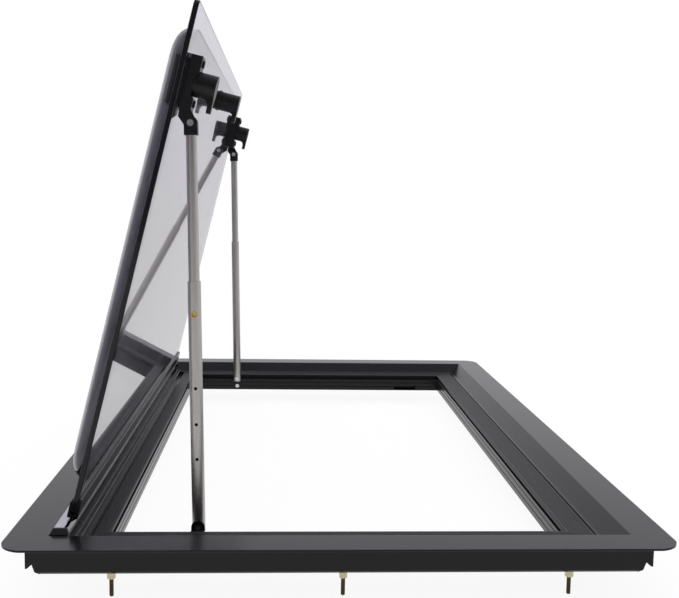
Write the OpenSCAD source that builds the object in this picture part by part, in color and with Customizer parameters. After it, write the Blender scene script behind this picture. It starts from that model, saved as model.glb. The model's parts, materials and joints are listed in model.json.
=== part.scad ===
// Hinged roof vent cover: a mitred aluminium frame for a roof cut-out, and a double acrylic panel
// on a full-length hook hinge, held open by two telescopic stays and shut by three turn latches.
//
// Frame of the part: origin at the centre of the roof cut-out, on the roof surface under the flange.
// +X runs from the hinge side to the latch side, +Y along the hinge, +Z away from the roof.
// The modules measure heights down from the flange's top face and lengths from its outer corner,
// and place() moves them to the part's own frame. The panel stands open.

/* [Frame] */
// Width across the flange, hinge side to latch side
frame_w = 600; // [590:1:640]
// Length across the flange, along the hinge
frame_l = 960; // [700:5:1200]
// Thickness of the flange that lies on the roof
flange_t = 2; // [1.6:0.1:2.4]
// Radius of the flange's outer corners
corner_r = 24; // [16:1:27]
// Depth of the inner lip's bottom edge below the flange's top face
frame_depth = 37; // [36.8:0.1:40]

/* [Panel] */
// Angle of the open panel above the closed position
open_angle = 76.3; // [74:0.1:78]
// Length of the inner pane from the hinge axis to its free edge
pane_reach = 489; // [484:0.5:491]
// Distance of the inner pane's short edges from the flange's short edges
pane_inset = 66; // [62:1:70]
// Thickness of the inner pane
pane_t = 5; // [4:0.5:5]
// Height of the outer dome above the inner pane
dome_h = 15; // [13:0.5:18]
// Wall of the outer dome
dome_t = 2.5; // [2:0.1:2.8]

/* [Stays] */
// Outside diameter of the upper tube, which slides in the lower tube
upper_d = 10.4; // [9.6:0.1:10.6]
// Outside diameter of the lower tube
lower_d = 12.6; // [12.4:0.1:12.8]
// Length of the lower tube above the foot pivot
lower_len = 237; // [225:1:240]

/* [Clamp bolts] */
// Distance of the outer clamp bolts from the middle one
bolt_pitch = 208; // [150:1:215]
// How far the front bolts stand below the frame's outer bottom edge
front_bolt_len = 23; // [18:0.5:30]
// How far the rear bolts stand below it, wound further in
rear_bolt_len = 15; // [12:0.5:23]

/* [Hidden] */

$fn = 48;
eps = 0.01;

// Heights in the rail section, below the flange's top face
flange_w = 36;
floor_z = -17;
lip_z = -19;
skirt_z = -33;
wall = 2;
// Distances in the rail section, inwards from the flange's outer edge
skirt_d = 28;
fin_d = 20;
fin_z = -24.4;
lip_d = 99;
lip_w = 14;
side_lip_d = 85;
side_lip_w = 4;
slot_bottom = 1.5 - frame_depth;
root_d = 70;
seal_top_z = -13.3;
seal_outer_d = 56.4;
seal_inner_d = 83.5;
chamber_d = 30;

// Hinge axis and stay pivots, with x from the hinge-side flange edge and z from the flange's top face
hinge_x = 45;
bead_r = 3.4;
channel_bore_r = 3.45;
channel_r = 6.5;
channel_top = 4.6;
channel_start = 44;
pane_v = 2;
pane_start = 9.7;
profile_start = pane_inset;
foot_x = 163.3;
foot_z = -15;
stay_y = 109;
top_u = 385;
top_v = 20;

// Where the open stay runs, from its foot to its top pivot on the panel
top_x = hinge_x + top_u * cos(open_angle) + top_v * sin(open_angle);
top_z = top_u * sin(open_angle) - top_v * cos(open_angle);
stay_len = norm([top_x - foot_x, top_z - foot_z]);
stay_tilt = atan2(top_x - foot_x, top_z - foot_z);
upper_start = 178;
button_s = 206;
lock_holes = [135, 100, 66];
tube_gap = 0.075;
upper_wall = 1;

// Latches: distance of each handle's axis from the hinge and from the flange's short edge
end_latch_u = 421;
end_latch_y = 112;
centre_latch_u = 439;
base_v = 17.5;
centre_base_v = 9;
handle_r = 12;
handle_cap_r = 8;
handle_len = 17.4;
centre_handle_len = 24.3;
lever_reach = 23.6;
lever_t = 4.5;
latch_bolt_r = 3;
block_v = -7.8;
screw_r = 2;

// Clamp bolts, near the skirt
bolt_d = 36;
bolt_r = 2;
thread_r = 1.95;
thread_core_r = 1.65;
nut_bottom = 6.2;

black = [0.11, 0.11, 0.12];
satin = [0.62, 0.60, 0.58];
zinc = [0.72, 0.68, 0.50];
brass = [0.70, 0.56, 0.28];

module place() {
    translate([-frame_w / 2, -frame_l / 2, flange_t]) children();
}

// Repeats a piece of the near end at the far end
module far() {
    translate([0, frame_l, 0]) mirror([0, 1, 0]) children();
}

// Panel pieces are drawn closed, with x the distance from the hinge axis, then turned open
module on_panel() {
    place() translate([hinge_x, 0, 0]) rotate([0, -open_angle, 0]) children();
}

// Stay pieces are drawn with z along the stay from its foot pivot and y outwards from its axis
module on_stay() {
    place() translate([foot_x, stay_y, foot_z]) rotate([0, stay_tilt, 0]) children();
}

module on_far_stay() {
    place() far() translate([foot_x, stay_y, foot_z]) rotate([0, stay_tilt, 0]) children();
}

// ---------------------------------------------------------------- frame rails

// Slope from the flange down to the floor, and the same line one wall deeper
ramp = [
    [flange_w, 0], [37.2, -0.8], [50, -12.6], [51.8, -13.8], [53.5, -14.2], [54.5, -14.4], [54.5, floor_z]
];

ramp_inside = [[37.5, -4.4], [48.2, -14.6], [51, -16.4], [52.5, -17], [52.5, floor_z - wall]];

// Two shallow grooves along the lip's inner face
function lip_grooves(lip_end) =
    [for (z = [-23, -29.8], p = [[0, 0], [-0.8, 0], [-0.8, -1], [0, -1]]) [lip_end + p[0], z + p[1]]];

seal_groove = [
    [root_d - 1.5, floor_z], [root_d - 1.5, floor_z - 2], [root_d - 3, floor_z - 2],
    [root_d - 3, floor_z - 4.5], [root_d + 3, floor_z - 4.5], [root_d + 3, floor_z - 2],
    [root_d + 1.5, floor_z - 2], [root_d + 1.5, floor_z]
];

function lip_outline(lip_end, width) = concat(
    [[lip_end - width, floor_z], [lip_end - width, lip_z], [lip_end - 0.6, lip_z], [lip_end, lip_z - 0.6]],
    lip_grooves(lip_end),
    [[lip_end, -frame_depth], [lip_end - 19, -frame_depth], [lip_end - 19, skirt_z]]
);

plain_skirt = [
    [skirt_d + 2.5, skirt_z], [skirt_d, skirt_z + 2.5], [skirt_d, -flange_t], [0, -flange_t]
];

fin_skirt = [
    [30, skirt_z], [26.5, -30], [24.5, -22], [fin_d + 1.6, fin_z], [fin_d, fin_z],
    [fin_d, -flange_t], [0, -flange_t]
];

flange_top = [[0, -0.5], [0.5, 0]];

// The hinge rail steps down for the hinge channel and carries two small ribs beside it
hinge_seat = [
    [37, 0], [37, -8.4], [49, -8.4], [49, -14], [53.5, -14], [53.5, -10], [55.5, -10],
    [55.5, -12.5], [58.5, -12.5], [58.5, -10], [60.5, -10], [60.5, floor_z]
];

module lip_chamber(lip_end) {
    polygon([
        [root_d + 5, lip_z - wall], [lip_end - wall, lip_z - wall], [lip_end - wall, slot_bottom],
        [lip_end - 17, slot_bottom], [lip_end - 17, skirt_z + wall],
        [root_d + 5, skirt_z + wall]
    ]);
}

module end_section() {
    difference() {
        polygon(concat(flange_top, ramp, seal_groove, lip_outline(lip_d, lip_w), plain_skirt));
        polygon(concat(
            [[skirt_d + wall, -4.4]], ramp_inside,
            [[root_d - 5, floor_z - wall], [root_d - 5, skirt_z + wall], [skirt_d + wall, skirt_z + wall]]
        ));
        lip_chamber(lip_d);
    }
}

module latch_section() {
    difference() {
        polygon(concat(flange_top, ramp, seal_groove, lip_outline(side_lip_d, side_lip_w), fin_skirt));
        polygon(concat(
            [[chamber_d, -4.4]], ramp_inside,
            [[root_d - 5, floor_z - wall], [root_d - 5, skirt_z + wall], [34, skirt_z + wall], [chamber_d, -27]]
        ));
        lip_chamber(side_lip_d);
    }
}

module hinge_section() {
    difference() {
        polygon(concat(flange_top, hinge_seat, seal_groove, lip_outline(side_lip_d, side_lip_w), fin_skirt));
        polygon([
            [chamber_d, -4], [35, -4], [35, -10.4], [47, -10.4], [47, -16], [58.5, -16],
            [58.5, floor_z - wall], [root_d - 5, floor_z - wall], [root_d - 5, skirt_z + wall],
            [34, skirt_z + wall], [chamber_d, -27]
        ]);
        lip_chamber(side_lip_d);
    }
}

// Sections run along Y from the front edge (side rails) or along X (end rails)
module along_y() {
    translate([0, frame_l, 0]) rotate([90, 0, 0]) linear_extrude(frame_l) children();
}

module along_x() {
    rotate([90, 0, 90]) linear_extrude(frame_w) children();
}

// The block of space that each rail keeps after its ends are mitred
module mitred(points) {
    intersection() {
        children();
        translate([0, 0, -60]) linear_extrude(80) polygon(points);
    }
}

module front_mitre() {
    mitred([
        [0, 0], [frame_w, 0], [frame_w - side_lip_d, side_lip_d], [frame_w - side_lip_d, lip_d],
        [side_lip_d, lip_d], [side_lip_d, side_lip_d]
    ]) children();
}

module hinge_mitre() {
    mitred([
        [0, 0], [side_lip_d, side_lip_d], [side_lip_d, frame_l - side_lip_d], [0, frame_l]
    ]) children();
}

module latch_mitre() {
    translate([frame_w, 0, 0]) mirror([1, 0, 0]) hinge_mitre() children();
}

// What the rounded outer corners cut away at one corner of the flange
module corner_waste() {
    difference() {
        translate([-1, -1, -flange_t - 1]) cube([corner_r + 1, corner_r + 1, flange_t + 2]);
        translate([corner_r, corner_r, -flange_t - 2]) cylinder(r = corner_r, h = flange_t + 4);
    }
}

module all_corner_waste() {
    for (mx = [0, 1], my = [0, 1])
        translate([mx * frame_w, my * frame_l, 0]) mirror([mx, 0, 0]) mirror([0, my, 0]) corner_waste();
}

// Slot in the lip that an end latch's lever turns into
module end_latch_slot() {
    translate([hinge_x + end_latch_u - 28, lip_d - wall - 1, slot_bottom])
        cube([38, wall + 2, 7.6]);
}

module foot_screw_hole() {
    translate([foot_x, lip_d + 1, -30]) rotate([90, 0, 0]) cylinder(r = 1.7, h = wall + 2);
}

module bolt_holes() {
    for (i = [-1 : 1])
        translate([frame_w / 2 + i * bolt_pitch, bolt_d, skirt_z - 1])
            cylinder(r = bolt_r + 0.2, h = wall + 2);
}

// Room for the hinge channel's end and its cap, where the hinge rail's step runs on into the end rail
module hinge_notch() {
    translate([37, 37, -8.4]) cube([16.2, 20, 10]);
}

module near_end_rail() {
    difference() {
        front_mitre() along_x() end_section();
        all_corner_waste();
        hinge_notch();
        end_latch_slot();
        foot_screw_hole();
        bolt_holes();
    }
}

module front_rail() {
    color(black) place() near_end_rail();
}

module rear_rail() {
    color(black) place() far() near_end_rail();
}

module hinge_rail() {
    color(black) place() difference() {
        hinge_mitre() along_y() hinge_section();
        all_corner_waste();
    }
}

module latch_rail() {
    color(black) place() difference() {
        latch_mitre() along_y() latch_section();
        all_corner_waste();
    }
}

// Cast angle inside each corner's chambers, which draws the mitre together
module corner_key() {
    key_d = 50;
    key_w = 10;
    key_leg = 62;
    translate([key_d, key_d, skirt_z + wall + 0.1]) {
        cube([key_leg, key_w, 6.6]);
        cube([key_w, key_leg, 6.6]);
    }
}

module corner_keys() {
    color("silver") place()
        for (mx = [0, 1], my = [0, 1])
            translate([mx * frame_w, my * frame_l, 0]) mirror([mx, 0, 0]) mirror([0, my, 0]) corner_key();
}

// ---------------------------------------------------------------- seals

// Rubber section: a strip that rises above the lip, and a root in the rail's groove
module seal_section(outer) {
    polygon([
        [outer, floor_z], [outer, seal_top_z - 0.8], [outer + 0.8, seal_top_z],
        [seal_inner_d - 0.5, seal_top_z], [seal_inner_d, seal_top_z - 0.5], [seal_inner_d, floor_z],
        [root_d + 1.4, floor_z], [root_d + 1.4, floor_z - 2.1], [root_d + 2.8, floor_z - 2.1],
        [root_d + 2.2, floor_z - 4.2], [root_d - 2.2, floor_z - 4.2],
        [root_d - 2.8, floor_z - 2.1], [root_d - 1.4, floor_z - 2.1], [root_d - 1.4, floor_z]
    ]);
}

module near_end_seal() {
    front_mitre() along_x() seal_section(seal_outer_d);
}

module front_seal() {
    color("dimgray") place() near_end_seal();
}

module rear_seal() {
    color("dimgray") place() far() near_end_seal();
}

module latch_seal() {
    color("dimgray") place() latch_mitre() along_y() seal_section(seal_outer_d);
}

module hinge_seal() {
    color("dimgray") place() hinge_mitre() along_y() seal_section(67.6);
}

// ---------------------------------------------------------------- hinge

// Hook channel: a tube with a flat top and foot, open towards the panel through the angles its neck sweeps
module hinge_channel() {
    color([0.35, 0.34, 0.38]) place()
        translate([hinge_x, frame_l - channel_start, 0]) rotate([90, 0, 0])
            linear_extrude(frame_l - 2 * channel_start)
                difference() {
                    union() {
                        intersection() {
                            circle(r = channel_r);
                            translate([-channel_r, -channel_r])
                                square([2 * channel_r, channel_r + channel_top]);
                        }
                        polygon([
                            [-channel_r, -8.4], [-channel_r, 2.2], [-5.6, 4], [-4.6, channel_top],
                            [1, channel_top], [1, -1], [3.5, -1], [3.5, -8.4]
                        ]);
                    }
                    circle(r = channel_bore_r);
                    polygon([[0, 0], [6, -6 * tan(63.5)], [20, -12], [20, 20], [12, 12 * tan(50)]]);
                }
}

// Its front leans back from the flange up to the channel
module hinge_end_cap() {
    difference() {
        translate([hinge_x, channel_start, 0]) rotate([90, 0, 0])
            linear_extrude(6.4)
                polygon([[-7.6, -8.3], [-7.6, 0.5], [-5.5, 4.8], [6.5, 4.8], [7.8, 2.5], [7.8, -8.3]]);
        translate([hinge_x - 10, channel_start, 0]) rotate([90, 0, 90])
            linear_extrude(20) polygon([[-10, 0.2], [-6.5, 0.2], [-1.2, 6], [-10, 6]]);
    }
}

module hinge_end_caps() {
    color(black) place() {
        hinge_end_cap();
        far() hinge_end_cap();
    }
}

// ---------------------------------------------------------------- clamp bolts

module each_bolt() {
    for (i = [-1 : 1]) {
        translate([frame_w / 2 + i * bolt_pitch, bolt_d, skirt_z]) children(0);
        far() translate([frame_w / 2 + i * bolt_pitch, bolt_d, skirt_z]) children(1);
    }
}

// T-bolt: its square head sits on the chamber's floor. It has the thread's core diameter inside the
// rail and the nut, and the thread's outside diameter on its free end.
module clamp_bolt(len) {
    translate([-3.5, -3.5, wall]) cube([7, 7, 2.6]);
    translate([0, 0, -nut_bottom - 1]) cylinder(r = thread_core_r, h = nut_bottom + 1 + wall + 1);
    translate([0, 0, -len]) cylinder(r = thread_r, h = len - nut_bottom - 0.5);
}

module clamp_bolts() {
    color(zinc) place() each_bolt() {
        clamp_bolt(front_bolt_len);
        clamp_bolt(rear_bolt_len);
    }
}

module clamp_washer() {
    translate([0, 0, -0.9]) difference() {
        cylinder(r = 4.5, h = 0.9);
        translate([0, 0, -1]) cylinder(r = bolt_r + 0.2, h = 3);
    }
}

module clamp_washers() {
    color(zinc) place() each_bolt() {
        clamp_washer();
        clamp_washer();
    }
}

module clamp_nut() {
    translate([0, 0, -nut_bottom]) difference() {
        cylinder(d = 7 / cos(30), h = 5.3, $fn = 6);
        translate([0, 0, -1]) cylinder(r = thread_core_r + 0.03, h = 8);
    }
}

module clamp_nuts() {
    color(zinc) place() each_bolt() {
        clamp_nut();
        clamp_nut();
    }
}

// ---------------------------------------------------------------- stay feet on the frame

plate_t = 2;
foot_r = 6.5;

module across_y(r, from, to) {
    translate([0, from, 0]) rotate([-90, 0, 0]) cylinder(r = r, h = to - from);
}

// Plate on the lip's inner face, with a tab over the lip's top
module foot_bracket() {
    difference() {
        translate([foot_x, lip_d, 0]) {
            translate([-foot_r, 0, -36]) cube([2 * foot_r, plate_t, 36 + foot_z]);
            translate([0, 0, foot_z]) across_y(foot_r, 0, plate_t);
            translate([-foot_r, -9, lip_z]) cube([2 * foot_r, 9 + plate_t / 2, 1.5]);
        }
        translate([foot_x, lip_d, foot_z]) across_y(2.05, -1, plate_t + 1);
        translate([foot_x, lip_d, -30]) across_y(screw_r + 0.1, -1, plate_t + 1);
    }
}

module near_foot_bracket() {
    color(black) place() foot_bracket();
}

module far_foot_bracket() {
    color(black) place() far() foot_bracket();
}

// Half of the foot pivot that stays with the bracket
module foot_pin() {
    translate([foot_x, lip_d, foot_z]) {
        across_y(2, 0, plate_t + 0.8);
        across_y(2.4, -1.4, 0);
    }
}

module foot_pins() {
    color(satin) place() {
        foot_pin();
        far() foot_pin();
    }
}

module foot_screw() {
    translate([foot_x, lip_d, -30]) {
        difference() {
            across_y(3.2, plate_t, plate_t + 1.6);
            across_y(1.1, plate_t + 0.8, plate_t + 2);
        }
        across_y(1.6, -5, plate_t);
    }
}

module foot_screws() {
    color(satin) place() {
        foot_screw();
        far() foot_screw();
    }
}

// ---------------------------------------------------------------- panel

pane_l = frame_l - 2 * pane_inset;
pane_r = 6;

module plate(x0, x1, y0, y1, r) {
    hull_w = x1 - x0;
    hull_l = y1 - y0;
    translate([x0, y0]) {
        translate([r, 0]) square([hull_w - 2 * r, hull_l]);
        translate([0, r]) square([hull_w, hull_l - 2 * r]);
        for (x = [r, hull_w - r], y = [r, hull_l - r]) translate([x, y]) circle(r = r);
    }
}

// Holes through the pane for the latch bolts and the base screws
module latch_holes(bolt_hole, screw_hole) {
    for (y = [end_latch_y, frame_l - end_latch_y]) {
        translate([end_latch_u, y]) circle(r = bolt_hole);
        for (u = screw_u) translate([u, y]) circle(r = screw_hole);
    }
    translate([centre_latch_u, frame_l / 2]) circle(r = bolt_hole);
}

screw_u = [402.5, 440];

module inner_pane() {
    color([0.42, 0.42, 0.46, 0.6]) on_panel()
        translate([0, 0, -pane_v - pane_t]) linear_extrude(pane_t) difference() {
            plate(pane_start, pane_reach, pane_inset, frame_l - pane_inset, pane_r);
            latch_holes(latch_bolt_r + 0.2, screw_r + 0.2);
        }
}

dome_run = 20;
dome_corner = 33;
dome_u0 = 30;
dome_w = pane_reach - 18.5 - dome_u0;
dome_y0 = pane_inset + 18;
dome_l = frame_l - 2 * dome_y0;

function dome_arc(rx, rz, steps) =
    [for (i = [0 : steps]) [dome_run - rx * cos(90 * i / steps), rz * sin(90 * i / steps)]];

// Curved wall of the dome, from the pane up to its flat top
module dome_edge() {
    inner = dome_arc(dome_run - dome_t, dome_h - dome_t, 8);
    polygon(concat(dome_arc(dome_run, dome_h, 8), [for (i = [8 : -1 : 0]) inner[i]]));
}

module dome_side(len) {
    translate([0, dome_corner + len, 0]) rotate([90, 0, 0]) linear_extrude(len) dome_edge();
}

module dome_end(len) {
    translate([dome_corner, 0, 0]) rotate([90, 0, 90]) linear_extrude(len) dome_edge();
}

module dome_turn() {
    rotate_extrude(angle = 90) translate([dome_corner, 0]) mirror([1, 0]) dome_edge();
}

module outer_dome() {
    color([0.5, 0.5, 0.53, 0.5]) on_panel() translate([dome_u0, dome_y0, -pane_v]) {
        side = dome_l - 2 * dome_corner;
        end = dome_w - 2 * dome_corner;
        dome_side(side);
        translate([dome_w, 0, 0]) mirror([1, 0, 0]) dome_side(side);
        dome_end(end);
        translate([0, dome_l, 0]) mirror([0, 1, 0]) dome_end(end);
        for (c = [[0, 0, 180], [1, 0, 270], [1, 1, 0], [0, 1, 90]])
            translate([dome_corner + c[0] * end, dome_corner + c[1] * side, 0])
                rotate([0, 0, c[2]]) dome_turn();
        translate([0, 0, dome_h - dome_t]) linear_extrude(dome_t)
            plate(dome_run, dome_w - dome_run, dome_run, dome_l - dome_run, dome_corner - dome_run);
    }
}

gasket_t = 0.5;

// Panel side of the hook hinge: bead, neck, and a channel that grips the pane's edge
module panel_hinge_profile() {
    color([0.45, 0.45, 0.48]) on_panel()
        translate([0, frame_l - profile_start, 0]) rotate([90, 0, 0])
            linear_extrude(frame_l - 2 * profile_start) {
                top = gasket_t - pane_v;
                bottom = -pane_v - pane_t - gasket_t;
                circle(r = bead_r);
                rotate(-45) translate([2, -1]) square([8.4, 2]);
                translate([7, bottom - wall]) square([wall + 0.2, top + 1.9 - bottom + wall]);
                translate([7, top]) square([15, 1.9]);
                translate([7, bottom - wall]) square([19, wall]);
            }
}

module pane_gasket() {
    color("black") on_panel()
        translate([0, frame_l - profile_start, 0]) rotate([90, 0, 0])
            linear_extrude(frame_l - 2 * profile_start) {
                translate([9.2, -pane_v]) square([12.8, gasket_t]);
                translate([9.2, -pane_v - pane_t - gasket_t]) square([16.8, gasket_t]);
                translate([9.2, -pane_v - pane_t - gasket_t]) square([gasket_t, pane_t + 2 * gasket_t]);
            }
}

// ---------------------------------------------------------------- latches on the panel

block_top = -block_v;

// Spacer between the pane and the dome, with pockets for the bolt's nut
module end_block() {
    difference() {
        translate([397, end_latch_y - 10, -pane_v]) cube([45.5, 22, block_top + pane_v]);
        translate([end_latch_u, end_latch_y, -pane_v - 1]) cylinder(r = latch_bolt_r + 0.2, h = 20);
        translate([end_latch_u, end_latch_y, block_top - 4.6]) cylinder(r = 6, h = 6);
        for (u = screw_u) translate([u, end_latch_y, -pane_v - 1]) cylinder(r = screw_r + 0.05, h = 8.6);
    }
}

module near_backing_block() {
    color(black) on_panel() end_block();
}

module far_backing_block() {
    color(black) on_panel() far() end_block();
}

module centre_backing_block() {
    color(black) on_panel() difference() {
        translate([centre_latch_u, frame_l / 2, -pane_v]) cylinder(r = 11, h = block_top + pane_v);
        translate([centre_latch_u, frame_l / 2, -pane_v - 1]) cylinder(r = latch_bolt_r + 0.2, h = 20);
        translate([centre_latch_u, frame_l / 2, block_top - 4.6]) cylinder(r = 6, h = 6);
    }
}

ear_y = 100.6;
ear_t = 2.4;
cap_gap = 0.2;

// Base of an end latch: a block notched round the handle's collar, with an ear for the stay's top pivot
module end_latch_base() {
    difference() {
        union() {
            translate([0, end_latch_y + 12, 0]) rotate([90, 0, 0]) linear_extrude(24) polygon([
                [395, -7], [395, -base_v], [407.5, -base_v], [409, -14], [424, -14], [431.5, -base_v],
                [446, -base_v], [446, -7]
            ]);
            translate([end_latch_u, end_latch_y, -base_v]) cylinder(r = handle_r, h = base_v - 13);
            translate([0, ear_y + ear_t, 0]) rotate([90, 0, 0]) linear_extrude(ear_t) {
                polygon([
                    [397, -7], [388, -7.6], [top_u - 6, -top_v + 2.5], [top_u + 1.4, -top_v - 6.35],
                    [397, -base_v]
                ]);
                translate([top_u, -top_v]) circle(r = 6.5);
            }
        }
        translate([top_u, 0, -top_v]) across_y(2.05, ear_y - 1, ear_y + ear_t + 1);
        translate([end_latch_u, end_latch_y, -base_v - 1]) cylinder(r = latch_bolt_r + 0.05, h = 20);
        for (u = screw_u) translate([u, end_latch_y, -base_v - 1]) cylinder(r = screw_r + 0.2, h = 20);
    }
}

module near_latch_base() {
    color(black) on_panel() end_latch_base();
}

module far_latch_base() {
    color(black) on_panel() far() end_latch_base();
}

module centre_latch_base() {
    color(black) on_panel() translate([centre_latch_u, frame_l / 2, -centre_base_v]) difference() {
        cylinder(r = 13, h = centre_base_v - pane_v - pane_t);
        translate([0, 0, -1]) cylinder(r = latch_bolt_r + 0.05, h = 6);
    }
}

module end_latch_screws() {
    for (u = screw_u) translate([u, end_latch_y, -base_v]) {
        cylinder(r = screw_r, h = base_v + 5);
        translate([0, 0, -1.8]) difference() {
            cylinder(r = 3.4, h = 1.8);
            translate([0, 0, -1]) cylinder(r = 1.2, h = 1.8);
        }
    }
}

module latch_screws() {
    color(satin) on_panel() {
        end_latch_screws();
        far() end_latch_screws();
    }
}

// Bolt that the handle turns on, with its head under the handle's cap
module latch_bolt(outer) {
    translate([0, 0, -outer + 3.9]) {
        cylinder(r = latch_bolt_r, h = outer - 3.9 + block_top - 0.6);
        translate([0, 0, -2.3]) cylinder(r = 5.4, h = 2.3);
    }
}

end_outer = base_v + 0.1 + handle_len;
centre_outer = centre_base_v + 0.1 + centre_handle_len;

module latch_bolts() {
    color(satin) on_panel() {
        for (y = [end_latch_y, frame_l - end_latch_y]) translate([end_latch_u, y, 0]) latch_bolt(end_outer);
        translate([centre_latch_u, frame_l / 2, 0]) latch_bolt(centre_outer);
    }
}

module latch_nut() {
    translate([0, 0, block_top - 4.5]) difference() {
        cylinder(d = 10 / cos(30), h = 3.6, $fn = 6);
        translate([0, 0, -1]) cylinder(r = latch_bolt_r + 0.03, h = 6);
    }
}

module latch_nuts() {
    color(satin) on_panel() {
        for (y = [end_latch_y, frame_l - end_latch_y]) translate([end_latch_u, y, 0]) latch_nut();
        translate([centre_latch_u, frame_l / 2, 0]) latch_nut();
    }
}

// Turn handle: a round body with a lever plate at its outer end, pointing to the hinge when unlatched
module handle(base, outer) {
    top = -outer;
    difference() {
        union() {
            translate([0, 0, top]) cylinder(r = handle_r, h = outer - base - 0.1);
            translate([-lever_reach + 5, -5, top]) cube([lever_reach - 5, 10, lever_t]);
            translate([-lever_reach + 5, 0, top]) cylinder(r = 5, h = lever_t);
            translate([0, 4, top + lever_t]) rotate([90, 0, 0]) linear_extrude(8)
                polygon([[-handle_r + 1, 0], [-handle_r - 5, 0], [-handle_r - 1.2, 1.6], [-handle_r + 1, 6.5]]);
        }
        translate([0, 0, top - 1]) cylinder(r = latch_bolt_r + 0.05, h = 40);
        translate([0, 0, top - 1]) cylinder(r = 6, h = 5);
        translate([0, 0, top - 1]) cylinder(r = handle_cap_r + 0.05, h = 2.5);
    }
}

module near_latch_handle() {
    color(black) on_panel() translate([end_latch_u, end_latch_y, 0]) handle(base_v, end_outer);
}

module far_latch_handle() {
    color(black) on_panel() far() translate([end_latch_u, end_latch_y, 0]) handle(base_v, end_outer);
}

module centre_latch_handle() {
    color(black) on_panel() translate([centre_latch_u, frame_l / 2, 0]) handle(centre_base_v, centre_outer);
}

// Cap over the bolt's head, flush with the end of the handle
module handle_cap(outer) {
    translate([0, 0, -outer]) cylinder(r = handle_cap_r, h = 1.5);
}

module near_handle_cap() {
    color(black) on_panel() translate([end_latch_u, end_latch_y, 0]) handle_cap(end_outer);
}

module far_handle_cap() {
    color(black) on_panel() far() translate([end_latch_u, end_latch_y, 0]) handle_cap(end_outer);
}

module centre_handle_cap() {
    color(black) on_panel() translate([centre_latch_u, frame_l / 2, 0]) handle_cap(centre_outer);
}

// Rivet through the ear and the stay's cap
module stay_top_rivet() {
    translate([top_u, 0, -top_v]) {
        across_y(2, ear_y, stay_y + 6);
        across_y(3.1, ear_y - 1.3, ear_y);
        across_y(3.1, stay_y + 6, stay_y + 7);
    }
}

module stay_top_rivets() {
    color(satin) on_panel() {
        stay_top_rivet();
        far() stay_top_rivet();
    }
}

// ---------------------------------------------------------------- telescopic stays

upper_r = upper_d / 2;
lower_r = lower_d / 2;
cap_len = 11;
cap_r = 6.35;
cap_socket = 5;

module tube(outer, inner, from, to) {
    translate([0, 0, from]) difference() {
        cylinder(r = outer, h = to - from);
        translate([0, 0, -1]) cylinder(r = inner, h = to - from + 2);
    }
}

// A hole through the wall that faces the rail
module wall_hole(s, r) {
    translate([0, 0, s]) across_y(r, -lower_r - 1, 0);
}

module upper_tube() {
    difference() {
        tube(upper_r, upper_r - upper_wall, upper_start, stay_len - cap_len + cap_socket);
        wall_hole(button_s, 1.95);
    }
}

module near_upper_tube() {
    color(satin) on_stay() upper_tube();
}

module far_upper_tube() {
    color(satin) on_far_stay() upper_tube();
}

// Plastic end that joins the upper tube to the panel's ear
module stay_cap() {
    half = stay_y - ear_y - ear_t - cap_gap;
    difference() {
        translate([0, 0, stay_len]) union() {
            translate([-cap_r, -half, -cap_len]) cube([2 * cap_r, 2 * half, cap_len]);
            across_y(cap_r, -half, half);
        }
        translate([0, 0, stay_len - cap_len - 1]) cylinder(r = upper_r, h = cap_socket + 1);
        translate([0, 0, stay_len]) across_y(2.05, -half - 1, half + 1);
    }
}

module near_stay_cap() {
    color(black) on_stay() stay_cap();
}

module far_stay_cap() {
    color(black) on_far_stay() stay_cap();
}

module lower_tube() {
    difference() {
        tube(lower_r, upper_r + tube_gap, -5, lower_len);
        wall_hole(button_s, 2.3);
        for (s = lock_holes) wall_hole(s, 1.6);
        across_y(2.05, -lower_r - 1, lower_r + 1);
    }
}

module near_lower_tube() {
    color(satin) on_stay() lower_tube();
}

module far_lower_tube() {
    color(satin) on_far_stay() lower_tube();
}

module foot_plug() {
    difference() {
        union() {
            translate([0, 0, -5]) cylinder(r = upper_r + tube_gap, h = 20);
            translate([0, 0, -6.2]) cylinder(r = lower_r, h = 1.2);
        }
        across_y(2.05, -lower_r - 1, lower_r + 1);
    }
}

module near_foot_plug() {
    color(black) on_stay() foot_plug();
}

module far_foot_plug() {
    color(black) on_far_stay() foot_plug();
}

// Brass ring round the button's hole
module button_eyelet() {
    translate([0, 0, button_s]) difference() {
        across_y(3.3, -lower_r - 0.7, -4.5);
        across_y(2.3, -lower_r - 1, 0);
        translate([0, 0, -5]) cylinder(r = lower_r, h = 10);
    }
}

module near_button_eyelet() {
    color(brass) on_stay() button_eyelet();
}

module far_button_eyelet() {
    color(brass) on_far_stay() button_eyelet();
}

// Half of the foot pivot that stays with the tube
module foot_rivet() {
    start = lip_d + plate_t + 1 - stay_y;
    across_y(2, start, lower_r);
    across_y(3.6, start, -lower_r);
    across_y(3.2, lower_r, lower_r + 1.2);
}

module near_foot_rivet() {
    color(satin) on_stay() foot_rivet();
}

module far_foot_rivet() {
    color(satin) on_far_stay() foot_rivet();
}

// Snap button: its crown fills the upper tube's hole and its collar keeps it in
module snap_button() {
    translate([0, 0, button_s]) {
        across_y(1.9, -upper_r + 0.35, -2.2);
        across_y(2.3, -3.2, -2.2);
    }
}

module near_snap_button() {
    color(brass) on_stay() snap_button();
}

module far_snap_button() {
    color(brass) on_far_stay() snap_button();
}

// Folded leaf spring behind the button
module button_spring() {
    translate([-1.5, 0, button_s]) rotate([90, 0, 90]) linear_extrude(3) polygon([
        [-2.2, 3], [-2.2, -3], [-0.6, -20], [0.6, -20], [2.1, 2], [1.7, 2],
        [0.2, -19.2], [-0.2, -19.2], [-1.8, -2.8], [-1.8, 3]
    ]);
}

module near_button_spring() {
    color(satin) on_stay() button_spring();
}

module far_button_spring() {
    color(satin) on_far_stay() button_spring();
}

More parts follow.
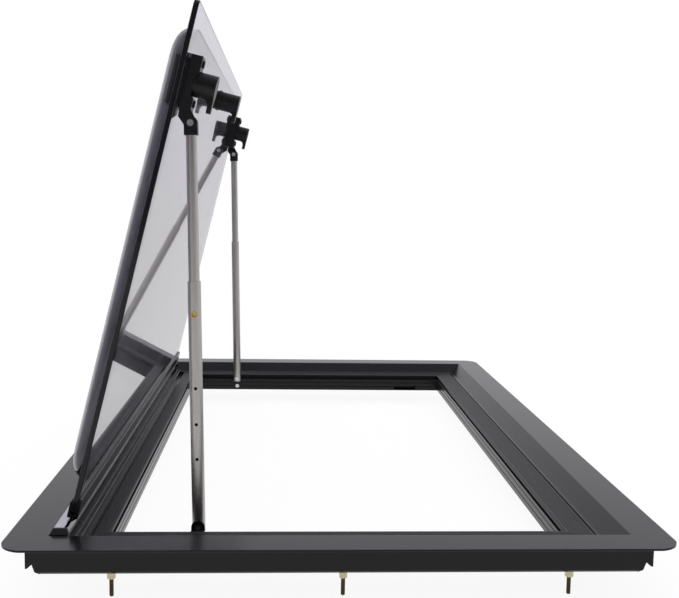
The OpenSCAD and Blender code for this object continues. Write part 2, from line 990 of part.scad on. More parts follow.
front_rail();
rear_rail();
hinge_rail();
latch_rail();
corner_keys();
front_seal();
rear_seal();
hinge_seal();
latch_seal();
hinge_channel();
hinge_end_caps();
clamp_bolts();
clamp_washers();
clamp_nuts();
near_foot_bracket();
far_foot_bracket();
foot_pins();
foot_screws();
inner_pane();
outer_dome();
panel_hinge_profile();
pane_gasket();
near_backing_block();
far_backing_block();
centre_backing_block();
near_latch_base();
far_latch_base();
centre_latch_base();
latch_screws();
latch_bolts();
latch_nuts();
stay_top_rivets();
near_latch_handle();
far_latch_handle();
centre_latch_handle();
near_handle_cap();
far_handle_cap();
centre_handle_cap();
near_upper_tube();
far_upper_tube();
near_stay_cap();
far_stay_cap();
near_lower_tube();
far_lower_tube();
near_foot_plug();
far_foot_plug();
near_button_eyelet();
far_button_eyelet();
near_foot_rivet();
far_foot_rivet();
near_snap_button();
far_snap_button();
near_button_spring();
far_button_spring();
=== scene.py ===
"""Looks of the hinged roof vent cover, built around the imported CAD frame.

The pieces are drawn in millimetres in two local systems, placed by the matrices FRAME and PANEL:
  FRAME  x from the hinge-side edge of the flange, y from its front edge, z up from its top face
  PANEL  x from the hinge axis, y as in FRAME, z away from the roof, drawn closed and turned open
"""

import json
import math

import bmesh
import bpy
from mathutils import Euler, Matrix, Vector


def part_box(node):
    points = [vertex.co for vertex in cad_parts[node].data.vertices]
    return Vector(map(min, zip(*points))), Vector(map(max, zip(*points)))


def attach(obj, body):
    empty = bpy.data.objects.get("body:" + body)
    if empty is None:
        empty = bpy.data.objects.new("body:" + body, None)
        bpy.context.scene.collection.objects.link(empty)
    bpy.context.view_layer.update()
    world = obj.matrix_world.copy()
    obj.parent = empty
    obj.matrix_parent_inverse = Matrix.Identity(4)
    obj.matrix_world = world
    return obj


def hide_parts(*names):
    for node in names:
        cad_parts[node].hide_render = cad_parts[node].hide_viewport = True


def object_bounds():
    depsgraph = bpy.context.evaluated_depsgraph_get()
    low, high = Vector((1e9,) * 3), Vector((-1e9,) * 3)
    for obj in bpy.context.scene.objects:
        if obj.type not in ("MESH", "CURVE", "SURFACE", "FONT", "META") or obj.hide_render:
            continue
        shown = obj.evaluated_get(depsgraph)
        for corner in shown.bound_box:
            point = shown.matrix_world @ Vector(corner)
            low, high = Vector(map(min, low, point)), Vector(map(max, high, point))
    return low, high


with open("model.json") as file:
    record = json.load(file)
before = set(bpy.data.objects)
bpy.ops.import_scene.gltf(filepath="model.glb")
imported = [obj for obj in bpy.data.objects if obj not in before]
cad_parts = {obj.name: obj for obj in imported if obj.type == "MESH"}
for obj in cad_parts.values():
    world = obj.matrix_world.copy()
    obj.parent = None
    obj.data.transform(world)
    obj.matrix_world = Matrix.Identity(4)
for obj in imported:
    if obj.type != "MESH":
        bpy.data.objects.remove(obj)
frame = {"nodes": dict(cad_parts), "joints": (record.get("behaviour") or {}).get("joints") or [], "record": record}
cad_low, cad_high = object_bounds()

MM = 0.001
front_low, front_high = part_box("front_rail")
left_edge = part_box("hinge_rail")[0].x
WIDTH = (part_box("latch_rail")[1].x - left_edge) / MM
LENGTH = (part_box("rear_rail")[1].y - front_low.y) / MM
joints = {j["name"]: j for j in frame["joints"]}

hinge_at = Vector(joints["panel_hinge"]["pos_m"])
panel_normal = Vector(joints["near_latch_turn"]["axis"])
open_angle = math.atan2(-panel_normal.x, panel_normal.z)
FRAME = Matrix.Translation((left_edge, front_low.y, front_high.z)) @ Matrix.Scale(MM, 4)
PANEL = (
    Matrix.Translation((hinge_at.x, front_low.y, hinge_at.z))
    @ Matrix.Rotation(-open_angle, 4, "Y")
    @ Matrix.Scale(MM, 4)
)

# Mirrors a piece at the near (front) end to the far (rear) end
FAR = Matrix.Scale(-1, 4, (0, 1, 0))

# ---------------------------------------------------------------- sections of the frame
# A section is drawn as (distance in from the flange's outer edge, height above its top face)

FLANGE_W = 36
FLANGE_T = 2
CORNER_R = 24
FLOOR_Z = -17
LIP_Z = -19
SKIRT_Z = -33
DEPTH = 37
END_LIP_D = 99
END_LIP_W = 14
SIDE_LIP_D = 85
SIDE_LIP_W = 4
LIP_FOOT_W = 19
LIP_GROOVES_Z = (-23, -29.8)
LIP_GROOVE = 1
LIP_GROOVE_DEPTH = 0.8
SECTION_R = 0.5
SEAL_TOP = -13.3
SEAL_INNER_D = 83.5
END_SEAL_D = 56.4
HINGE_SEAL_D = 67.6

flange_top = [(0, 0)]
flange_bottom = [(0, -FLANGE_T)]
ramp = [
    (FLANGE_W, 0), (37.2, -0.8), (50, -12.6), (51.8, -13.8), (53.5, -14.2), (54.5, -14.4), (54.5, FLOOR_Z)
]
hinge_seat = [
    (37, 0), (37, -8.4), (49, -8.4), (49, -14), (53.5, -14), (53.5, -10), (55.5, -10),
    (55.5, -12.5), (58.5, -12.5), (58.5, -10), (60.5, -10), (60.5, FLOOR_Z)
]
plain_skirt = [(30.5, SKIRT_Z), (28, -30.5), (28, -FLANGE_T)]
fin_skirt = [(30, SKIRT_Z), (26.5, -30), (24.5, -22), (21.6, -24.4), (20, -24.4), (20, -FLANGE_T)]


def lip(end, width):
    """The inner lip, from the floor over its top and down its face, which has two grooves."""
    grooves = []
    for z in LIP_GROOVES_Z:
        grooves += [
            (end, z), (end - LIP_GROOVE_DEPTH, z),
            (end - LIP_GROOVE_DEPTH, z - LIP_GROOVE), (end, z - LIP_GROOVE)
        ]
    top = [(end - width, FLOOR_Z), (end - width, LIP_Z), (end, LIP_Z)]
    foot = [(end, -DEPTH), (end - LIP_FOOT_W, -DEPTH), (end - LIP_FOOT_W, SKIRT_Z)]
    return top + grooves + foot


def seal_outline(outer, pitch=2.7):
    """A strip with fine grooves along its top."""
    top = [(outer, SEAL_TOP - 0.7), (outer + 0.7, SEAL_TOP)]
    d = outer + 3.4
    while d + pitch < SEAL_INNER_D - 1:
        top += [
            (d, SEAL_TOP), (d + 0.25, SEAL_TOP - 0.45), (d + 0.75, SEAL_TOP - 0.45), (d + 1, SEAL_TOP)
        ]
        d += pitch
    top += [(SEAL_INNER_D - 0.6, SEAL_TOP), (SEAL_INNER_D, SEAL_TOP - 0.6)]
    return [(outer, FLOOR_Z)] + top + [(SEAL_INNER_D, FLOOR_Z)]


# ---------------------------------------------------------------- mesh builders


def rounded(points, radius, steps=3):
    """The closed outline with every corner of more than 14 degrees rounded off."""
    result = []
    count = len(points)
    for i in range(count):
        p = Vector(points[i])
        a = Vector(points[i - 1]) - p
        b = Vector(points[(i + 1) % count]) - p
        turn = math.pi - a.angle(b)
        if turn < math.radians(14):
            result.append(p)
            continue
        reach = min(radius, a.length * 0.4, b.length * 0.4)
        start = p + a.normalized() * reach
        end = p + b.normalized() * reach
        for k in range(steps + 1):
            t = k / steps
            result.append(start * (1 - t) ** 2 + p * (2 * t * (1 - t)) + end * t ** 2)
    return result


def loft(bm, rings, close=True):
    """Joins rings of equally many points with quads, and caps the two ends."""
    made = [[bm.verts.new(p) for p in ring] for ring in rings]
    for low, high in zip(made, made[1:]):
        n = len(low)
        for i in range(n):
            bm.faces.new((low[i], low[(i + 1) % n], high[(i + 1) % n], high[i]))
    if close:
        bm.faces.new(list(reversed(made[0])))
        bm.faces.new(made[-1])
    return made


def side_sweep(section, mirror):
    """A rail along y, mitred at both ends; its section gives distances in from the outer edge."""
    bm = bmesh.new()
    x = [WIDTH - d if mirror else d for d, z in section]
    near = [(x[i], d, z) for i, (d, z) in enumerate(section)]
    far = [(x[i], LENGTH - d, z) for i, (d, z) in enumerate(section)]
    loft(bm, [near, far])
    return bm


def end_sweep(section):
    """A rail along x; its lip goes in past the side rails' lips, and ends square against them."""
    bm = bmesh.new()
    left = [(min(d, SIDE_LIP_D), d, z) for d, z in section]
    right = [(WIDTH - min(d, SIDE_LIP_D), d, z) for d, z in section]
    loft(bm, [left, right])
    return bm


def ring(radius, z, segments):
    angles = [2 * math.pi * i / segments for i in range(segments)]
    return [(radius * math.cos(a), radius * math.sin(a), z) for a in angles]


def lathe(bm, profile, at, segments):
    """Turns (radius, height) points round z."""
    part = bmesh.new()
    loft(part, [ring(r, z, segments) for r, z in profile])
    join(bm, part, at)


def prism(bm, outline, low, high):
    """An outline in x and y, raised from low to high along z."""
    loft(bm, [[(x, y, low) for x, y in outline], [(x, y, high) for x, y in outline]])


def join(bm, part, at):
    """Adds a part, moved to its place, to the mesh that collects them."""
    part.transform(at)
    mesh = bpy.data.meshes.new("part")
    part.to_mesh(mesh)
    part.free()
    bm.from_mesh(mesh)
    bpy.data.meshes.remove(mesh)


SHARP = math.radians(32)
DOME_SHARP = math.radians(50)


def piece(name, bm, place, slot, body, stands_for, far=False, sharp=SHARP):
    """Makes an object of the mesh, with its finish, its body and the CAD nodes that it stands for."""
    bm.transform(FAR @ place if far else place)
    bmesh.ops.recalc_face_normals(bm, faces=bm.faces)
    mesh = bpy.data.meshes.new(name)
    bm.to_mesh(mesh)
    bm.free()
    mesh.shade_smooth()
    mesh.set_sharp_from_angle(angle=sharp)
    obj = bpy.data.objects.new(name, mesh)
    bpy.context.scene.collection.objects.link(obj)
    obj.modifiers.new("normals", "WEIGHTED_NORMAL").keep_sharp = True
    mesh.materials.append(SLOTS[slot])
    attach(obj, body)
    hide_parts(*stands_for)
    return obj


def cut(obj, holes, operation="DIFFERENCE"):
    """Takes closed shapes, given as a bmesh in metres, out of a piece, or keeps only what is inside."""
    mesh = bpy.data.meshes.new("cutter")
    bmesh.ops.recalc_face_normals(holes, faces=holes.faces)
    holes.to_mesh(mesh)
    holes.free()
    cutter = bpy.data.objects.new("cutter", mesh)
    bpy.context.scene.collection.objects.link(cutter)
    modifier = obj.modifiers.new("cut", "BOOLEAN")
    modifier.operation = operation
    modifier.solver = "EXACT"
    modifier.object = cutter
    bpy.context.view_layer.update()
    result = bpy.data.meshes.new_from_object(obj.evaluated_get(bpy.context.evaluated_depsgraph_get()))
    obj.modifiers.remove(modifier)
    old = obj.data
    obj.data = result
    result.name = old.name
    bpy.data.meshes.remove(old)
    bpy.data.objects.remove(cutter)
    obj.data.shade_smooth()
    obj.data.set_sharp_from_angle(angle=SHARP)


# ---------------------------------------------------------------- finishes


def node_tree(name):
    """A new material with a Principled shader, and its node tree, shader and output."""
    mat = bpy.data.materials.new(name)
    mat.use_nodes = True
    nt = mat.node_tree
    nt.nodes.clear()
    out = nt.nodes.new("ShaderNodeOutputMaterial")
    bsdf = nt.nodes.new("ShaderNodeBsdfPrincipled")
    nt.links.new(bsdf.outputs[0], out.inputs[0])
    return mat, nt, bsdf, out


COAT_IOR = 1.36
BUMP_HEIGHT = 0.0002


def finish(
    name, colour, roughness, metallic=0.0, scale=(1, 1, 1), grain=900.0, bump=0.1, vary=0.15, spread=0.05
):
    """A grained finish: noise varies the colour and the roughness, and raises a fine bump."""
    mat, nt, bsdf, _ = node_tree(name)
    coord = nt.nodes.new("ShaderNodeTexCoord")
    mapping = nt.nodes.new("ShaderNodeMapping")
    mapping.inputs["Scale"].default_value = scale
    nt.links.new(coord.outputs["Object"], mapping.inputs[0])
    noise = nt.nodes.new("ShaderNodeTexNoise")
    noise.inputs["Scale"].default_value = grain
    noise.inputs["Detail"].default_value = 3
    nt.links.new(mapping.outputs[0], noise.inputs["Vector"])
    ramp_node = nt.nodes.new("ShaderNodeValToRGB")
    ramp_node.color_ramp.elements[0].color = (*[c * (1 - vary) for c in colour], 1)
    ramp_node.color_ramp.elements[1].color = (*[min(1, c * (1 + vary)) for c in colour], 1)
    ramp_node.color_ramp.elements[0].position = 0.3
    ramp_node.color_ramp.elements[1].position = 0.7
    nt.links.new(noise.outputs["Fac"], ramp_node.inputs[0])
    nt.links.new(ramp_node.outputs[0], bsdf.inputs["Base Color"])
    rough = nt.nodes.new("ShaderNodeMapRange")
    rough.inputs["To Min"].default_value = roughness - spread
    rough.inputs["To Max"].default_value = roughness + spread
    nt.links.new(noise.outputs["Fac"], rough.inputs["Value"])
    nt.links.new(rough.outputs[0], bsdf.inputs["Roughness"])
    raised = nt.nodes.new("ShaderNodeBump")
    raised.inputs["Strength"].default_value = bump
    raised.inputs["Distance"].default_value = BUMP_HEIGHT
    nt.links.new(noise.outputs["Fac"], raised.inputs["Height"])
    nt.links.new(raised.outputs[0], bsdf.inputs["Normal"])
    bsdf.inputs["Metallic"].default_value = metallic
    bsdf.inputs["IOR"].default_value = COAT_IOR
    return mat


ACRYLIC_IOR = 1.49
ACRYLIC_SHADOW = (0.8, 0.8, 0.82, 1)


def acrylic(name, tint):
    """Tinted clear plastic, with faint cloudiness in its colour. Its shadow is light."""
    mat, nt, bsdf, out = node_tree(name)
    noise = nt.nodes.new("ShaderNodeTexNoise")
    noise.inputs["Scale"].default_value = 6
    ramp_node = nt.nodes.new("ShaderNodeValToRGB")
    ramp_node.color_ramp.elements[0].color = (*[c * 0.985 for c in tint], 1)
    ramp_node.color_ramp.elements[1].color = (*tint, 1)
    nt.links.new(noise.outputs["Fac"], ramp_node.inputs[0])
    nt.links.new(ramp_node.outputs[0], bsdf.inputs["Base Color"])
    bsdf.inputs["Roughness"].default_value = 0.02
    bsdf.inputs["Transmission Weight"].default_value = 1.0
    bsdf.inputs["IOR"].default_value = ACRYLIC_IOR
    path = nt.nodes.new("ShaderNodeLightPath")
    clear = nt.nodes.new("ShaderNodeBsdfTransparent")
    clear.inputs["Color"].default_value = ACRYLIC_SHADOW
    mix = nt.nodes.new("ShaderNodeMixShader")
    nt.links.new(path.outputs["Is Shadow Ray"], mix.inputs[0])
    nt.links.new(bsdf.outputs[0], mix.inputs[1])
    nt.links.new(clear.outputs[0], mix.inputs[2])
    nt.links.new(mix.outputs[0], out.inputs[0])
    return mat


BRUSHED_Y = (1, 0.02, 1)
BRUSHED_Z = (1, 1, 0.02)
SLOTS = {
    "frame_black": finish("powder coat", (0.007, 0.007, 0.0085), 0.2, grain=1600, bump=0.02, spread=0.03),
    "key_aluminium": finish("cast aluminium", (0.6, 0.6, 0.61), 0.45, 1.0),
    "seal_rubber": finish("seal rubber", (0.022, 0.022, 0.024), 0.42, grain=900, bump=0.6, vary=0.4),
    "hinge_aluminium": finish("hinge aluminium", (0.5, 0.5, 0.55), 0.28, 1.0, BRUSHED_Y, grain=2500),
    "black_plastic": finish("black plastic", (0.010, 0.010, 0.011), 0.38, grain=1800, bump=0.1),
    "clamp_steel": finish("clamp steel", (0.22, 0.17, 0.10), 0.4, 1.0),
    "yellow_zinc": finish("yellow zinc", (0.62, 0.56, 0.36), 0.3, 1.0, vary=0.3),
    "bright_steel": finish("bright steel", (0.7, 0.7, 0.71), 0.25, 1.0),
    "acrylic": acrylic("acrylic", (0.58, 0.57, 0.62)),
    "tube_aluminium": finish("tube aluminium", (0.5, 0.48, 0.46), 0.32, 1.0, BRUSHED_Z, grain=2500),
    "brass": finish("brass", (0.6, 0.42, 0.16), 0.25, 1.0),
}
# A much darker tint of the same acrylic for the dome's sloped wall: painted shade where light runs through the
# curved acrylic edge-on
DOME_WALL_SHADE = acrylic("acrylic in the dome's wall", (0.09, 0.09, 0.11))
# A near-black finish for the clear pane's edge faces: painted shade on the edges of the sheet
EDGE_SHADE = finish("acrylic edge", (0.012, 0.012, 0.016), 0.12, grain=300, bump=0.02)
# A grey finish for edges: a painted highlight along the hinge seat's ridges and the foot of the panel's profile
DIM_EDGE_HIGHLIGHT = finish("painted dim edge highlight", (0.3, 0.3, 0.31), 0.5, vary=0.4)
BLACKENED = finish("blackened steel", (0.03, 0.03, 0.032), 0.35, 1.0)
# A near-white finish for edges: a painted highlight along the foot of the panel's profile
BRIGHT_EDGE_HIGHLIGHT = finish("painted bright edge highlight", (0.85, 0.85, 0.86), 0.5, vary=0.1)

# The CAD nodes that stay get the finish of their slot, and smooth shading between sharp edges
slot_of = {s["node"]: s["material_slot"] for s in frame["record"]["subparts"]}
for node, obj in frame["nodes"].items():
    obj.data.materials.clear()
    obj.data.materials.append(SLOTS[slot_of[node]])
    obj.data.shade_smooth()
    obj.data.set_sharp_from_angle(angle=SHARP)
frame["nodes"]["latch_screws"].data.materials[0] = BLACKENED

# ---------------------------------------------------------------- frame


def round_corners(rail):
    """Keeps what lies inside the flange's rounded outline, which clears the rail between its corners."""
    clear = 1
    corner = [(-clear, CORNER_R)]
    for turn in range(0, 91, 5):
        a = math.radians(turn)
        corner.append((CORNER_R * (1 - math.cos(a)), CORNER_R * (1 - math.sin(a))))
    corner.append((CORNER_R, -clear))
    outline = []
    for mx, my in ((0, 0), (1, 0), (1, 1), (0, 1)):
        turned = [(WIDTH - x if mx else x, LENGTH - y if my else y) for x, y in corner]
        outline += turned if mx == my else list(reversed(turned))
    keep = bmesh.new()
    prism(keep, outline, -60, 10)
    keep.transform(FRAME)
    cut(rail, keep, "INTERSECT")


def paint_edge_highlight(obj, place, material, edges, reach):
    """Gives the faces within reach (mm) of the given edges, which run along y, another finish: a painted
    highlight.
    """
    index = len(obj.data.materials)
    obj.data.materials.append(material)
    back = place.inverted()
    for face in obj.data.polygons:
        at = back @ face.center
        if any(math.hypot(at.x - x, at.z - z) < reach for x, z in edges):
            face.material_index = index


def box_outline(x0, x1, y0, y1):
    return [(x0, y0), (x1, y0), (x1, y1), (x0, y1)]


side_lip = lip(SIDE_LIP_D, SIDE_LIP_W)
end_outline = flange_top + ramp + lip(END_LIP_D, END_LIP_W) + plain_skirt + flange_bottom
latch_outline = flange_top + ramp + side_lip + fin_skirt + flange_bottom
hinge_outline = flange_top + hinge_seat + side_lip + fin_skirt + flange_bottom

# Slot for an end latch's lever, and room for the hinge channel's end and cap
LEVER_SLOT = box_outline(438, 476, END_LIP_D - 12, END_LIP_D + 1)
LEVER_SLOT_Z = (-35.5, -27.9)
HINGE_NOTCH = box_outline(37, 53.2, 37, 57)
HINGE_NOTCH_Z = (-8.4, 2)
for name, far in (("front_rail", False), ("rear_rail", True)):
    sweep = end_sweep(rounded(end_outline, SECTION_R))
    rail = piece(name + "_shell", sweep, FRAME, "frame_black", "frame", [name], far)
    holes = bmesh.new()
    prism(holes, LEVER_SLOT, *LEVER_SLOT_Z)
    prism(holes, HINGE_NOTCH, *HINGE_NOTCH_Z)
    holes.transform(FAR @ FRAME if far else FRAME)
    cut(rail, holes)
    round_corners(rail)

# The edges of the seat that the panel's profile rests on get a grey painted highlight
SEAT_EDGES = [(49, -8.4), (53.5, -10), (55.5, -10), (58.5, -10), (60.5, -10)]
for name, outline, mirror in (("hinge_rail", hinge_outline, False), ("latch_rail", latch_outline, True)):
    sweep = side_sweep(rounded(outline, SECTION_R), mirror)
    rail = piece(name + "_shell", sweep, FRAME, "frame_black", "frame", [name])
    round_corners(rail)
    if name == "hinge_rail":
        paint_edge_highlight(rail, FRAME, DIM_EDGE_HIGHLIGHT, SEAT_EDGES, 0.7)

end_seal = seal_outline(END_SEAL_D)
hinge_seal = seal_outline(HINGE_SEAL_D)
piece("front_seal_strip", end_sweep(end_seal), FRAME, "seal_rubber", "frame", ["front_seal"])
piece("rear_seal_strip", end_sweep(end_seal), FRAME, "seal_rubber", "frame", ["rear_seal"], far=True)
piece("latch_seal_strip", side_sweep(end_seal, True), FRAME, "seal_rubber", "frame", ["latch_seal"])
piece("hinge_seal_strip", side_sweep(hinge_seal, False), FRAME, "seal_rubber", "frame", ["hinge_seal"])

# ---------------------------------------------------------------- panel

PANE_TOP = -2
PANE_BOTTOM = -7
PANE_START = 9.7
PANE_REACH = 489
PANE_INSET = 66
PANE_CORNER = 6
PANE_CHAMFER = 0.5
DOME_START = 30
DOME_REACH = PANE_REACH - 18.5
DOME_INSET = PANE_INSET + 18
DOME_H = 15
DOME_T = 2.5
DOME_RUN = 20
DOME_CORNER = 33
DOME_STEPS = 18
panel_up = (PANEL.to_3x3() @ Vector((0, 0, 1))).normalized()


def rounded_rect(start, reach, end_inset, radius, inset, z, steps=12):
    """A rounded rectangle, centred on the panel's length and taken in by inset all round."""
    x0, x1 = start + inset, reach - inset
    y0, y1 = end_inset + inset, LENGTH - end_inset - inset
    r = radius - inset
    points = []
    for cx, cy, turn in (
        (x1 - r, y1 - r, 0), (x0 + r, y1 - r, 90), (x0 + r, y0 + r, 180), (x1 - r, y0 + r, 270)
    ):
        for k in range(steps + 1):
            a = math.radians(turn + 90 * k / steps)
            points.append((cx + r * math.cos(a), cy + r * math.sin(a), z))
    return points


def paint_shade_on_slopes(obj, material, level):
    """Gives the faces that lean away from the panel's plane another, darker finish: painted shade."""
    obj.data.materials.append(material)
    for face in obj.data.polygons:
        if abs(face.normal.dot(panel_up)) < level:
            face.material_index = 1


pane = bmesh.new()
loft(pane, [
    rounded_rect(PANE_START, PANE_REACH, PANE_INSET, PANE_CORNER, inset, z)
    for inset, z in (
        (PANE_CHAMFER, PANE_BOTTOM), (0, PANE_BOTTOM + PANE_CHAMFER),
        (0, PANE_TOP - PANE_CHAMFER), (PANE_CHAMFER, PANE_TOP)
    )
])
sheet = piece("inner_pane_sheet", pane, PANEL, "acrylic", "panel", ["inner_pane"])
# The pane's edge faces get the near-black finish: painted shade
paint_shade_on_slopes(sheet, EDGE_SHADE, 0.5)

# Hinge profile: a round bead, a neck, and a channel that grips the pane. Two lines along its foot get painted
# highlights, one near-white and one grey.
BEAD_R = 3.4
GRIP_BOTTOM = -9.5
bead = [
    (BEAD_R * math.cos(math.radians(a)), BEAD_R * math.sin(math.radians(a))) for a in range(-30, 301, 6)
]
grip_outline = [
    (7, -8.41), (7, GRIP_BOTTOM), (8.6, GRIP_BOTTOM), (10, GRIP_BOTTOM), (11, GRIP_BOTTOM),
    (26, GRIP_BOTTOM), (26, -7.5), (9.2, -7.5), (9.2, -1.5), (22, -1.5), (22, 0.4), (7, 0.4), (7, -5.59)
]
profile = rounded(bead + grip_outline, 0.4)
extrusion = bmesh.new()
loft(extrusion, [[(u, y, v) for u, v in profile] for y in (PANE_INSET, LENGTH - PANE_INSET)])
grip = piece("hinge_profile_extrusion", extrusion, PANEL, "frame_black", "panel", ["panel_hinge_profile"])
paint_edge_highlight(grip, PANEL, BRIGHT_EDGE_HIGHLIGHT, [(7, GRIP_BOTTOM), (8, GRIP_BOTTOM)], 0.6)
paint_edge_highlight(grip, PANEL, DIM_EDGE_HIGHLIGHT, [(10.5, GRIP_BOTTOM)], 0.4)


def dome_rings(run, height):
    """Rings of a dome's rounded side, from its foot up."""
    rings = []
    for k in range(DOME_STEPS + 1):
        a = math.radians(90 * k / DOME_STEPS)
        inset = DOME_RUN - run * math.cos(a)
        z = PANE_TOP + height * math.sin(a)
        rings.append(rounded_rect(DOME_START, DOME_REACH, DOME_INSET, DOME_CORNER, inset, z))
    return rings


dome = bmesh.new()
inside = dome_rings(DOME_RUN - DOME_T, DOME_H - DOME_T)
outside = dome_rings(DOME_RUN, DOME_H)
shell = loft(dome, inside[::-1] + outside, close=False)
dome.faces.new(shell[0])
dome.faces.new(shell[-1])
cover = piece("outer_dome_cover", dome, PANEL, "acrylic", "panel", ["outer_dome"], sharp=DOME_SHARP)
# The dome's sloped wall gets the darker tint: painted shade
paint_shade_on_slopes(cover, DOME_WALL_SHADE, 0.93)

# ---------------------------------------------------------------- small parts of the CAD that stay
# Widths in mm by which their edges are rounded, each with its nodes, named without near_ or far_

SOFT_EDGES = {
    0.6: [
        "latch_base", "centre_latch_base", "latch_handle", "centre_latch_handle", "backing_block",
        "centre_backing_block", "stay_cap", "hinge_end_caps", "foot_bracket"
    ],
    0.3: [
        "hinge_channel", "foot_plug", "foot_rivet", "foot_pins", "foot_screws", "latch_screws",
        "stay_top_rivets", "handle_cap", "centre_handle_cap", "button_eyelet", "snap_button"
    ],
    0.15: ["upper_tube", "lower_tube", "clamp_washers"],
}
for width, names in SOFT_EDGES.items():
    for node, obj in frame["nodes"].items():
        if node.removeprefix("near_").removeprefix("far_") not in names:
            continue
        bevel = obj.modifiers.new("edge", "BEVEL")
        bevel.width = width * MM
        bevel.segments = 2
        bevel.limit_method = "ANGLE"
        bevel.angle_limit = math.radians(30)
        bevel.harden_normals = True

# ---------------------------------------------------------------- clamp bolts

BOLT_D = 36
BOLT_PITCH = 208
BOLT_LENGTHS = {"near": 23, "far": 15}
BOLT_SEGMENTS = 24
THREAD_R = 1.95
THREAD_CORE_R = 1.62
THREAD_PITCH = 0.7
NUT_BOTTOM = -6.2
NUT_TOP = -0.9
NUT_FLATS = 7
NUT_HOLE_R = 2.05
NUT_SEGMENTS = 48


def thread(bm, top, bottom, at):
    """A screw thread: one continuous ridge wound from the top down to the bottom."""
    part = bmesh.new()
    pitch = THREAD_PITCH
    segments = BOLT_SEGMENTS
    ridge = (
        (THREAD_CORE_R, 0), (THREAD_R, 0.35 * pitch), (THREAD_R, 0.5 * pitch), (THREAD_CORE_R, 0.85 * pitch)
    )
    turns = int((top - bottom - pitch) / pitch)
    rows = []
    for i in range(turns * segments + 1):
        a = 2 * math.pi * i / segments
        z = top - pitch * i / segments
        rows.append([part.verts.new((r * math.cos(a), r * math.sin(a), z - drop)) for r, drop in ridge])
    for i in range(len(rows) - 1):
        for k in range(3):
            part.faces.new((rows[i][k], rows[i + 1][k], rows[i + 1][k + 1], rows[i][k + 1]))
        if i + segments < len(rows) - 1:
            part.faces.new((rows[i][3], rows[i + 1][3], rows[i + 1 + segments][0], rows[i + segments][0]))
    join(bm, part, at)


def nut(bm, at):
    """A hexagon nut with its corners turned down at both ends."""
    half = NUT_FLATS / 2
    rings = []
    for z, hexagon, lean in ((NUT_BOTTOM, 0, 0), (NUT_BOTTOM, 1, 1), (NUT_TOP, 1, -1), (NUT_TOP, 0, 0)):
        points = []
        for i in range(NUT_SEGMENTS):
            a = 2 * math.pi * i / NUT_SEGMENTS
            to_side = half / math.cos((a + math.pi / 6) % (math.pi / 3) - math.pi / 6)
            turned_down = lean * ((to_side - half) * 0.6 + 0.08)
            r = to_side if hexagon else half * 0.98
            points.append((r * math.cos(a), r * math.sin(a), z + turned_down))
        rings.append(points)
    rings += [ring(NUT_HOLE_R, NUT_TOP, NUT_SEGMENTS), ring(NUT_HOLE_R, NUT_BOTTOM, NUT_SEGMENTS)]
    part = bmesh.new()
    made = loft(part, rings, close=False)
    for i in range(NUT_SEGMENTS):
        k = (i + 1) % NUT_SEGMENTS
        part.faces.new((made[-1][i], made[-1][k], made[0][k], made[0][i]))
    join(bm, part, at)


bolts = bmesh.new()
nuts = bmesh.new()
for end, length in BOLT_LENGTHS.items():
    y = BOLT_D if end == "near" else LENGTH - BOLT_D
    core = [
        (1.2, -length), (1.55, -length + 0.5), (THREAD_CORE_R, -length + 1), (THREAD_CORE_R, 2), (1, 2)
    ]
    for i in (-1, 0, 1):
        at = Matrix.Translation((WIDTH / 2 + i * BOLT_PITCH, y, SKIRT_Z))
        lathe(bolts, core, at, BOLT_SEGMENTS)
        thread(bolts, 1, -length + 0.2, at)
        nut(nuts, at)
piece("clamp_bolt_threads", bolts, FRAME, "clamp_steel", "frame", ["clamp_bolts"])
piece("clamp_nut_hexagons", nuts, FRAME, "yellow_zinc", "frame", ["clamp_nuts"])

# ---------------------------------------------------------------- camera, light and floor

cam = bpy.data.objects.new("camera", bpy.data.cameras.new("camera"))
bpy.context.scene.collection.objects.link(cam)
cam.location = (-0.0557, -1.28414, 0.30893)
cam.rotation_euler = Euler([math.radians(a) for a in (83.7766, -0.9688, -2.976)])
cam.data.lens = 51.074
cam.data.shift_x = 0.00465
cam.data.shift_y = -0.00096
bpy.context.scene.camera = cam
bpy.context.scene.view_settings.view_transform = "Standard"


def seen_directly(nt):
    """1 where a backdrop is seen, also through the panel, and 0 where it lights or is reflected."""
    path = nt.nodes.new("ShaderNodeLightPath")
    either = nt.nodes.new("ShaderNodeMath")
    either.operation = "MAXIMUM"
    nt.links.new(path.outputs["Is Camera Ray"], either.inputs[0])
    nt.links.new(path.outputs["Is Transmission Ray"], either.inputs[1])
    return either.outputs[0]


def blend_node(nt, kind, factor, a, b):
    """Mixes the values or colours a and b, which are at the given inputs of a Mix node of this kind."""
    mix = nt.nodes.new("ShaderNodeMix")
    mix.data_type = kind
    nt.links.new(factor, mix.inputs[0])
    for place, value in (a, b):
        if isinstance(value, bpy.types.NodeSocket):
            nt.links.new(value, mix.inputs[place])
        else:
            mix.inputs[place].default_value = value
    return mix


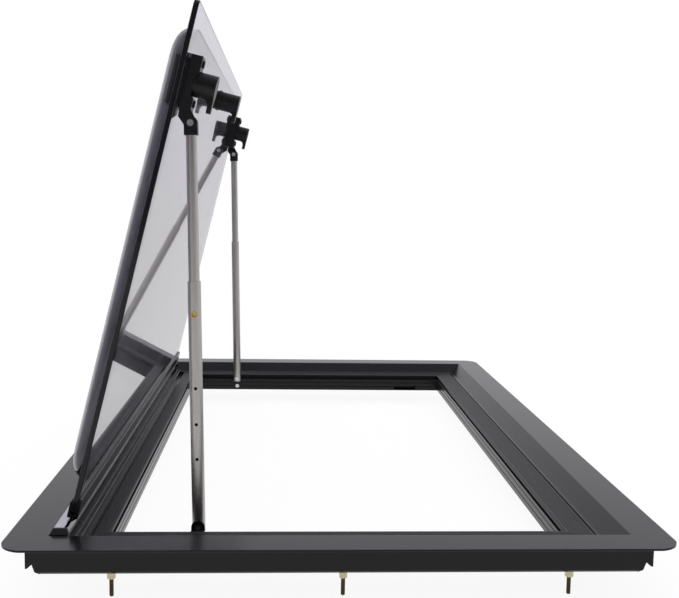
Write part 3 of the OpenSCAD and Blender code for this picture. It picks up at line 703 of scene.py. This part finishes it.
FLOAT_A, FLOAT_B, COLOUR_A, COLOUR_B = 2, 3, 6, 7
WHITE = (1, 1, 1, 1)

# A white room that lights from ahead and above and is darker behind the camera, so front faces stay dark
world = bpy.data.worlds.new("studio")
bpy.context.scene.world = world
world.use_nodes = True
wt = world.node_tree
background = wt.nodes["Background"]
direction = wt.nodes.new("ShaderNodeTexCoord")
split = wt.nodes.new("ShaderNodeSeparateXYZ")
wt.links.new(direction.outputs["Generated"], split.inputs[0])
along = wt.nodes.new("ShaderNodeMapRange")
along.inputs["From Min"].default_value = -0.9
along.inputs["From Max"].default_value = 0.1
along.inputs["To Min"].default_value = 0.12
along.inputs["To Max"].default_value = 0.82
wt.links.new(split.outputs["Y"], along.inputs["Value"])
direct = seen_directly(wt)
strength = blend_node(wt, "FLOAT", direct, (FLOAT_A, along.outputs["Result"]), (FLOAT_B, 1.0))
wt.links.new(strength.outputs[0], background.inputs["Strength"])
colour = blend_node(wt, "RGBA", direct, (COLOUR_A, (0.96, 0.95, 1, 1)), (COLOUR_B, WHITE))
wt.links.new(colour.outputs[2], background.inputs["Color"])

# Pale floor that is partly lit from within, as a light table, so shadows on it stay faint
FLOOR_HALF = 6
floor_z = cad_low.z - 0.001
corners = [(x, y, floor_z) for x, y in box_outline(-FLOOR_HALF, FLOOR_HALF, -FLOOR_HALF, FLOOR_HALF)]
floor_mesh = bpy.data.meshes.new("floor")
floor_mesh.from_pydata(corners, [], [(0, 1, 2, 3)])
floor = bpy.data.objects.new("floor", floor_mesh)
bpy.context.scene.collection.objects.link(floor)
table = finish("floor", (0.15, 0.15, 0.15), 0.9, vary=0.02, bump=0)
tt = table.node_tree
surface = tt.nodes["Principled BSDF"]
surface.inputs["Emission Color"].default_value = WHITE
surface.inputs["Specular IOR Level"].default_value = 0.0
glow = blend_node(tt, "FLOAT", seen_directly(tt), (FLOAT_A, 0.7), (FLOAT_B, 0.92))
tt.links.new(glow.outputs[0], surface.inputs["Emission Strength"])
floor_mesh.materials.append(table)
